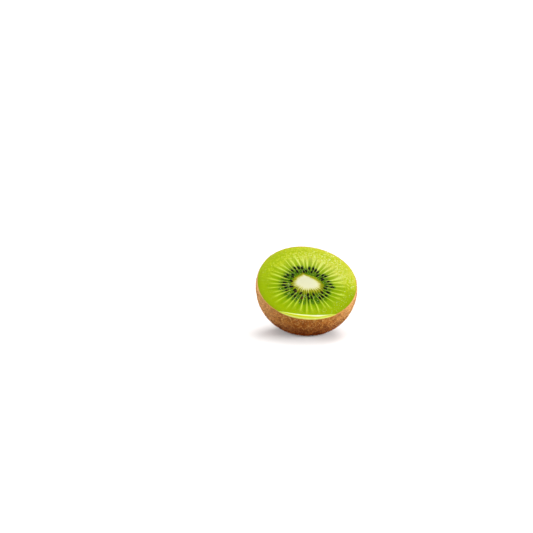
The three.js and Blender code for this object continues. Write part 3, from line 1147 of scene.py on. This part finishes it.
def seeds_mesh(look):
    """Every seed, as an egg shape that points at the core, joined in one mesh."""
    body = bmesh.new()
    seed_length, seed_width, seed_thickness = look.seeds.size
    tints = []
    for number, (at, turn, size) in enumerate(seed_places(look)):
        made = bmesh.ops.create_icosphere(body, subdivisions=3, radius=0.5)["verts"]
        for vert in made:
            along = vert.co.x
            uneven = noise.noise(vert.co * SEED_WAVES + Vector((number, 0, 0)))
            slender = 1 + SEED_UNEVENNESS * uneven
            slender *= 1 - SEED_SLIMMER * max(0, -along) ** 1.5
            vert.co = (
                seed_length * along * (1 + SEED_LONGER * (along < 0)),
                seed_width * vert.co.y * slender,
                seed_thickness * vert.co.z * slender,
            )
        bmesh.ops.scale(body, vec=(size, size, size), verts=made)
        turned_by = Matrix.Rotation(turn, 3, "Z")
        bmesh.ops.rotate(body, cent=(0, 0, 0), matrix=turned_by, verts=made)
        place = (at[0], at[1], -look.seeds.sink)
        bmesh.ops.translate(body, vec=place, verts=made)
        tints += [scatter(number, GOLDEN, 0.24)] * len(made)
    mesh = mesh_of(body, "Seeds")
    mark_points(mesh, tint=tints)
    lay_down(mesh, look.fruit)
    return mesh


def skin_profile(fruit, rings, inner_rings):
    """Radii and heights of the inner wall, the rounded edge at the cut, the outer wall and the nub."""
    thick, rim = fruit.skin_thickness, fruit.cut_width / 2
    profile = [(0, -fruit.depth + thick)]
    for height in reversed(barrel_heights(fruit, inner_rings)[1:]):
        profile.append((barrel_width(height, fruit) / 2 - thick, height))
    for inset, drop in SKIN_EDGE:
        profile.append((rim - inset * thick, -drop * MM))
    for height in barrel_heights(fruit, rings)[1:]:
        profile.append((barrel_width(height, fruit) / 2, height))
    for step in range(NUB_RINGS + 1):
        around = step / NUB_RINGS * math.pi / 2
        height = -fruit.depth - fruit.nub_height * math.sin(around)
        profile.append((fruit.nub_radius * math.cos(around), height))
    return profile


def skin_mesh(look, sides=480, rings=100, inner_rings=14):
    """The skin as a closed shell, with its grain and the dry nub."""
    fruit, thick = look.fruit, look.fruit.skin_thickness
    mesh = mesh_of(turned(skin_profile(fruit, rings, inner_rings), sides), "Skin")
    points = points_of(mesh)
    angle, radius = around_axis(points)
    full = barrel_width(np.minimum(points[:, 2], 0), fruit) / 2
    on_nub = points[:, 2] < -fruit.depth + MM / 1e3
    outside = (radius > full - 0.5 * thick) | on_nub
    grain = look.skin.relief * waves(points, SKIN_GRAIN_SIZE, 3, 1.0)
    grain = grain + DENT_RISE * waves(points, DENT_SIZE, 2, 5.0)
    fade = smooth(*GRAIN_FADES, points[:, 2])
    radius = radius + np.where(outside, grain * fade, 0)
    points[:, :2] = on_oval(angle, 2 * radius, fruit.cut_oval, LOBES)
    points[:, 2] += np.where(on_nub, NUB_ROUGHNESS * grain, 0)
    move_points(mesh, points)
    mark_points(mesh, outside=outside)

    _, lean_out = around_axis(points)
    off_pole = np.arctan2(lean_out, -points[:, 2]) / SKIN_REACH
    way = points[:, :2] / np.maximum(lean_out, MM / 1e6)[:, None]
    on_map = 0.5 + SKIN_ON_MAP * way * off_pole[:, None]
    hidden = HIDDEN_CORNER + HIDDEN_SKIN * way * off_pole[:, None]
    mark_map(mesh, np.where(outside[:, None], on_map, hidden))
    lay_down(mesh, fruit, np.where(outside, 0, thick))
    return mesh


def fruit_axis(fruit):
    """The way from the blossom end to the cut, where the fruit lies."""
    return np.array(resting_place(fruit).to_3x3() @ Vector((0, 0, 1)))


def hair_roots(look, skin, choice):
    """Places scattered evenly over the outside of the skin, and the way that it faces at each."""
    hairs, origin = look.skin.hairs, resting_place(look.fruit).translation
    skin.calc_loop_triangles()
    corners = np.empty(len(skin.loop_triangles) * 3, np.int32)
    skin.loop_triangles.foreach_get("vertices", corners)
    corners = corners.reshape(-1, 3)
    outside = np.empty(len(skin.vertices), np.float32)
    skin.attributes["outside"].data.foreach_get("value", outside)
    points = points_of(skin)
    under_cut = (np.array(origin) - points) @ fruit_axis(look.fruit)
    usable = outside[corners].min(axis=1) > 0.5
    usable &= points[corners][:, :, 2].max(axis=1) > HAIR_OFF_GROUND
    usable &= under_cut[corners].min(axis=1) > HAIR_OFF_CUT
    a, b, c = (points[corners[usable, k]] for k in range(3))
    cross = np.cross(b - a, c - a)
    area = np.linalg.norm(cross, axis=1)
    chosen = choice.choice(len(area), hairs, p=area / area.sum())
    u, v = choice.random((2, hairs))
    fold = u + v > 1
    u[fold], v[fold] = 1 - u[fold], 1 - v[fold]
    a, b, c = a[chosen], b[chosen], c[chosen]
    root = a + u[:, None] * (b - a) + v[:, None] * (c - a)
    return root, cross[chosen] / area[chosen][:, None]


def nearest_of(middles, places):
    """The number of the middle that is nearest to each place."""
    tree = kdtree.KDTree(len(middles))
    for number, middle in enumerate(middles.tolist()):
        tree.insert(middle, number)
    tree.balance()
    return np.array([tree.find(place)[1] for place in places.tolist()])


def hair_spots(hairs):
    """Gives each hair a cell of its own on the map that its colours are baked on, and in it a spot
    for each corner of its four faces."""
    cells = math.ceil(math.sqrt(hairs))
    number = np.arange(hairs)
    cell = np.stack((number % cells, number // cells), axis=-1)
    sides = [((k / 3, 0.15), ((k + 1) / 3, 0.15), ((k + 0.5) / 3, 0.95)) for k in range(3)]
    underneath = ((0.1, 0.02), (0.9, 0.02), (0.5, 0.12))
    in_cell = np.array((*sides, underneath)).reshape(1, 12, 2)
    return (cell[:, None] + 0.05 + 0.9 * in_cell) / cells


def fuzz_mesh(look, skin):
    """Short hairs all over the outside of the skin. Each is a thin closed spike of four faces."""
    choice = np.random.default_rng(HAIR_DRAW)
    fuzz, hairs = look.skin, look.skin.hairs
    root, upright = hair_roots(look, skin, choice)

    # The hairs lie over towards the cut, each a little its own way, and draw together in tufts.
    wild = choice.normal(size=(hairs, 3))
    lie = HAIR_TO_CUT * fruit_axis(look.fruit) + HAIR_WILD * wild
    lie -= (lie * upright).sum(axis=1)[:, None] * upright
    way = upright + lie
    way /= np.linalg.norm(way, axis=1)[:, None]
    share_of_length = HAIR_SHORTEST + (1 - HAIR_SHORTEST) * choice.random(hairs)
    tip = root + way * (fuzz.hair_length * share_of_length)[:, None]
    middles = root[:: fuzz.tuft_hairs]
    tuft = nearest_of(middles, root)
    lifted = middles + TUFT_HEIGHT * fuzz.hair_length * upright[:: fuzz.tuft_hairs]
    tip += fuzz.tuft_pull * (lifted[tuft] - tip)
    tip[:, 2] = np.maximum(tip[:, 2], TIP_OFF_GROUND)

    side = np.cross(way, wild)
    side /= np.linalg.norm(side, axis=1)[:, None]
    other = np.cross(way, side)
    share_of_width = HAIR_THINNEST + (1 - HAIR_THINNEST) * choice.random(hairs)
    thick = fuzz.hair_width / 2 * share_of_width
    sunk = root - upright * HAIR_ROOT_SINK
    feet = []
    for corner in range(3):
        turn = TAU * corner / 3
        spread = math.cos(turn) * side + math.sin(turn) * other
        foot = sunk + thick[:, None] * spread
        foot[:, 2] = np.maximum(foot[:, 2], FOOT_OFF_GROUND)
        feet.append(foot)
    spikes = np.stack((*feet, tip), axis=1)
    faces = np.array(((0, 1, 3), (1, 2, 3), (2, 0, 3), (0, 2, 1)))
    every = (faces[None] + 4 * np.arange(hairs)[:, None, None]).reshape(-1, 3)
    mesh = bpy.data.meshes.new("Fuzz")
    mesh.from_pydata(spikes.reshape(-1, 3), [], every)
    tint = TUFT_TINT * choice.random(len(middles))[tuft]
    tint = tint + (1 - TUFT_TINT) * choice.random(hairs)
    mark_points(mesh, tint=np.repeat(tint, 4), along=np.tile((0, 0, 0, 1), hairs))
    mark_corners(mesh, hair_spots(hairs))
    return mesh


def juice_mesh(look):
    """A bead of juice along the lower rim: a ball drawn out and bent into a crescent."""
    fruit, juice = look.fruit, look.juice
    body = bmesh.new()
    bmesh.ops.create_uvsphere(body, u_segments=48, v_segments=120, radius=1)
    middle = math.radians(JUICE_MIDDLE)
    half_turn = juice.width / fruit.cut_width
    edges, streaks = [], []
    for vert in body.verts:
        along = vert.co.z
        full = math.sqrt(max(0.0, 1 - along * along))
        around = math.atan2(vert.co.y, vert.co.x)
        angle = middle + half_turn * along
        rim = on_oval(angle, fruit.cut_width + JUICE_OVER_RIM, fruit.cut_oval, LOBES)
        inward = (1 - math.cos(around)) / 2
        breadth = juice.breadth * full**JUICE_TAPER
        part = 1 - 2 * breadth * inward / fruit.cut_width / fruit.cut_oval
        height = juice.rise * full * math.sin(around)
        if height < 0:
            height *= JUICE_UNDERSIDE
        droop = JUICE_DROOP * full * (1 - inward) ** JUICE_HUG
        vert.co = (rim[0] * part, rim[1] * part, height - droop)
        # Painted light at the bead's edges, and painted highlights along it.
        edges.append(max(smooth(*edge, inward) for edge in JUICE_EDGES))
        streak = 0.0
        for at_along, long, at_inward, broad, strength in JUICE_HIGHLIGHTS:
            off = ((along - at_along) / long) ** 2 + ((inward - at_inward) / broad) ** 2
            streak += strength * math.exp(-off)
        streaks.append(streak)
    bmesh.ops.recalc_face_normals(body, faces=body.faces)
    mesh = mesh_of(body, "Juice")
    mark_points(mesh, edge=edges, streak=streaks)
    lay_down(mesh, fruit)
    return mesh


# ---------------------------------------------------------------------------------------------------
# Operators
# ---------------------------------------------------------------------------------------------------


# The lights: azimuth from the front to the right, elevation and breadth in degrees, and the share of
# its strength in the studio's look.
LIGHTS = (
    (-68, 6, 60, "left_light", 1),
    (60, 5, 60, "right_light", 1),
    (-105, 5, 50, "low_light", 1),
    (105, 12, 50, "low_light", 1 / 3),
    (-10, 20, 40, "front_light", 1),
    (175, 74, 70, "top_light", 1),
    (150, 42, 30, "back_light", 1),
)

# The camera looks along this azimuth and elevation, in degrees, at a point left of the fruit.
CAMERA_WAY, CAMERA_AIM, CAMERA_DISTANCE = (-3.39, 14), (-21.53, 0, 35.8), 773.4
FOCAL_LENGTH, SENSOR_WIDTH = 100, 36

FLOOR_RADIUS = 8
FLOOR_UNDER = 0.02 * MM  # keeps the floor clear of the flat spot that the fruit rests on


class KIWI_OT_add_studio(bpy.types.Operator):
    """Adds the pale floor, the soft lights and the camera"""

    bl_idname = "kiwi.add_studio"
    bl_label = "Add Studio"

    def execute(self, context):
        studio = context.scene.kiwi_half.studio
        add_floor(context, studio)
        add_world(context, studio)
        for azimuth, elevation, breadth, light, part in LIGHTS:
            add_sun(context, azimuth, elevation, breadth, part * getattr(studio, light))
        add_camera(context)
        context.scene.view_settings.view_transform = "Standard"
        return {"FINISHED"}


def way_to(azimuth, elevation):
    """The way from the fruit to something at this azimuth, from the front to the right, and this
    elevation, both in degrees."""
    a, e = math.radians(azimuth), math.radians(elevation)
    return Vector((math.sin(a) * math.cos(e), -math.cos(a) * math.cos(e), math.sin(e)))


def add_floor(context, studio):
    """A round floor, whose bounce is set apart from its own colour."""
    body = bmesh.new()
    bmesh.ops.create_circle(body, cap_ends=True, segments=96, radius=FLOOR_RADIUS)
    bmesh.ops.translate(body, vec=(0, 0, -FLOOR_UNDER), verts=body.verts)
    mesh = bpy.data.meshes.new("Floor")
    body.to_mesh(mesh)
    body.free()
    floor = bpy.data.objects.new("Floor", mesh)
    context.collection.objects.link(floor)
    material, tree, shader = new_material("Floor", Roughness=0.9, Specular_IOR_Level=0)
    seen = put(tree, "LightPath").outputs["Is Camera Ray"]
    pale = blend(tree, seen, studio.floor_bounce, studio.floor_colour)
    tree.links.new(pale, shader.inputs["Base Color"])
    mesh.materials.append(material)


def add_world(context, studio):
    """White for the camera, and a softer fill for everything else."""
    world = bpy.data.worlds.new("Studio")
    context.scene.world = world
    world.use_nodes = True
    tree = world.node_tree
    background = tree.nodes["Background"]
    background.inputs["Color"].default_value = (1, 1, 1, 1)
    seen = put(tree, "LightPath").outputs["Is Camera Ray"]
    strength = rise(tree, seen, 0, 1, studio.fill, 1)
    tree.links.new(strength, background.inputs["Strength"])


def add_sun(context, azimuth, elevation, breadth, strength):
    light = bpy.data.lights.new("Softbox", "SUN")
    light.energy = strength
    light.angle = math.radians(breadth)
    lamp = bpy.data.objects.new("Softbox", light)
    lamp.rotation_euler = way_to(azimuth, elevation).to_track_quat("Z", "Y").to_euler()
    context.collection.objects.link(lamp)


def add_camera(context):
    camera = bpy.data.objects.new("Camera", bpy.data.cameras.new("Camera"))
    context.collection.objects.link(camera)
    camera.data.lens = FOCAL_LENGTH
    camera.data.sensor_width = SENSOR_WIDTH
    camera.data.clip_start, camera.data.clip_end = 0.05, 30
    back = way_to(*CAMERA_WAY)
    camera.location = Vector(CAMERA_AIM) * MM + back * CAMERA_DISTANCE * MM
    camera.rotation_euler = back.to_track_quat("Z", "Y").to_euler()
    context.scene.camera = camera


class KIWI_OT_add_flesh(bpy.types.Operator):
    """Adds the flesh, with the rays and wet cells of the cut"""

    bl_idname = "kiwi.add_flesh"
    bl_label = "Add Flesh"

    def execute(self, context):
        look = context.scene.kiwi_half
        add_piece(context, flesh_mesh(look), cut_material("Flesh", look, 0.12))
        return {"FINISHED"}


class KIWI_OT_add_core(bpy.types.Operator):
    """Adds the pale core"""

    bl_idname = "kiwi.add_core"
    bl_label = "Add Core"

    def execute(self, context):
        look = context.scene.kiwi_half
        add_piece(context, core_mesh(look), cut_material("Core", look, 0.25))
        return {"FINISHED"}


class KIWI_OT_add_seeds(bpy.types.Operator):
    """Adds the seeds, half sunk in the cut"""

    bl_idname = "kiwi.add_seeds"
    bl_label = "Add Seeds"

    def execute(self, context):
        look = context.scene.kiwi_half
        add_piece(context, seeds_mesh(look), seed_material(look))
        return {"FINISHED"}


class KIWI_OT_add_skin(bpy.types.Operator):
    """Adds the brown skin and its fuzz"""

    bl_idname = "kiwi.add_skin"
    bl_label = "Add Skin"

    def execute(self, context):
        look = context.scene.kiwi_half
        skin = skin_mesh(look)
        add_piece(context, skin, skin_material(look))
        add_piece(context, fuzz_mesh(look, skin), fuzz_material(look))
        return {"FINISHED"}


class KIWI_OT_add_juice(bpy.types.Operator):
    """Adds the bead of juice along the lower rim"""

    bl_idname = "kiwi.add_juice"
    bl_label = "Add Juice"

    def execute(self, context):
        look = context.scene.kiwi_half
        add_piece(context, juice_mesh(look), juice_material(look))
        return {"FINISHED"}


class KIWI_PT_pieces(bpy.types.Panel):
    """Lists the pieces of the fruit and the studio"""

    bl_label = "Kiwi Fruit Half"
    bl_idname = "KIWI_PT_pieces"
    bl_space_type = "VIEW_3D"
    bl_region_type = "UI"
    bl_category = "Kiwi Fruit"

    def draw(self, context):
        for operator in OPERATORS:
            self.layout.operator(operator.bl_idname)


OPERATORS = (
    KIWI_OT_add_studio,
    KIWI_OT_add_flesh,
    KIWI_OT_add_core,
    KIWI_OT_add_seeds,
    KIWI_OT_add_skin,
    KIWI_OT_add_juice,
)
CLASSES = (
    FruitSizes,
    FleshLook,
    CoreLook,
    SeedLook,
    SkinLook,
    JuiceLook,
    StudioLook,
    KiwiHalfLook,
    *OPERATORS,
    KIWI_PT_pieces,
)


def register():
    for cls in CLASSES:
        bpy.utils.register_class(cls)
    bpy.types.Scene.kiwi_half = PointerProperty(type=KiwiHalfLook)


def unregister():
    del bpy.types.Scene.kiwi_half
    for cls in reversed(CLASSES):
        bpy.utils.unregister_class(cls)


def main():
    register()
    bpy.ops.kiwi.add_studio()
    bpy.ops.kiwi.add_flesh()
    bpy.ops.kiwi.add_core()
    bpy.ops.kiwi.add_seeds()
    bpy.ops.kiwi.add_skin()
    bpy.ops.kiwi.add_juice()


if __name__ == "__main__":
    main()
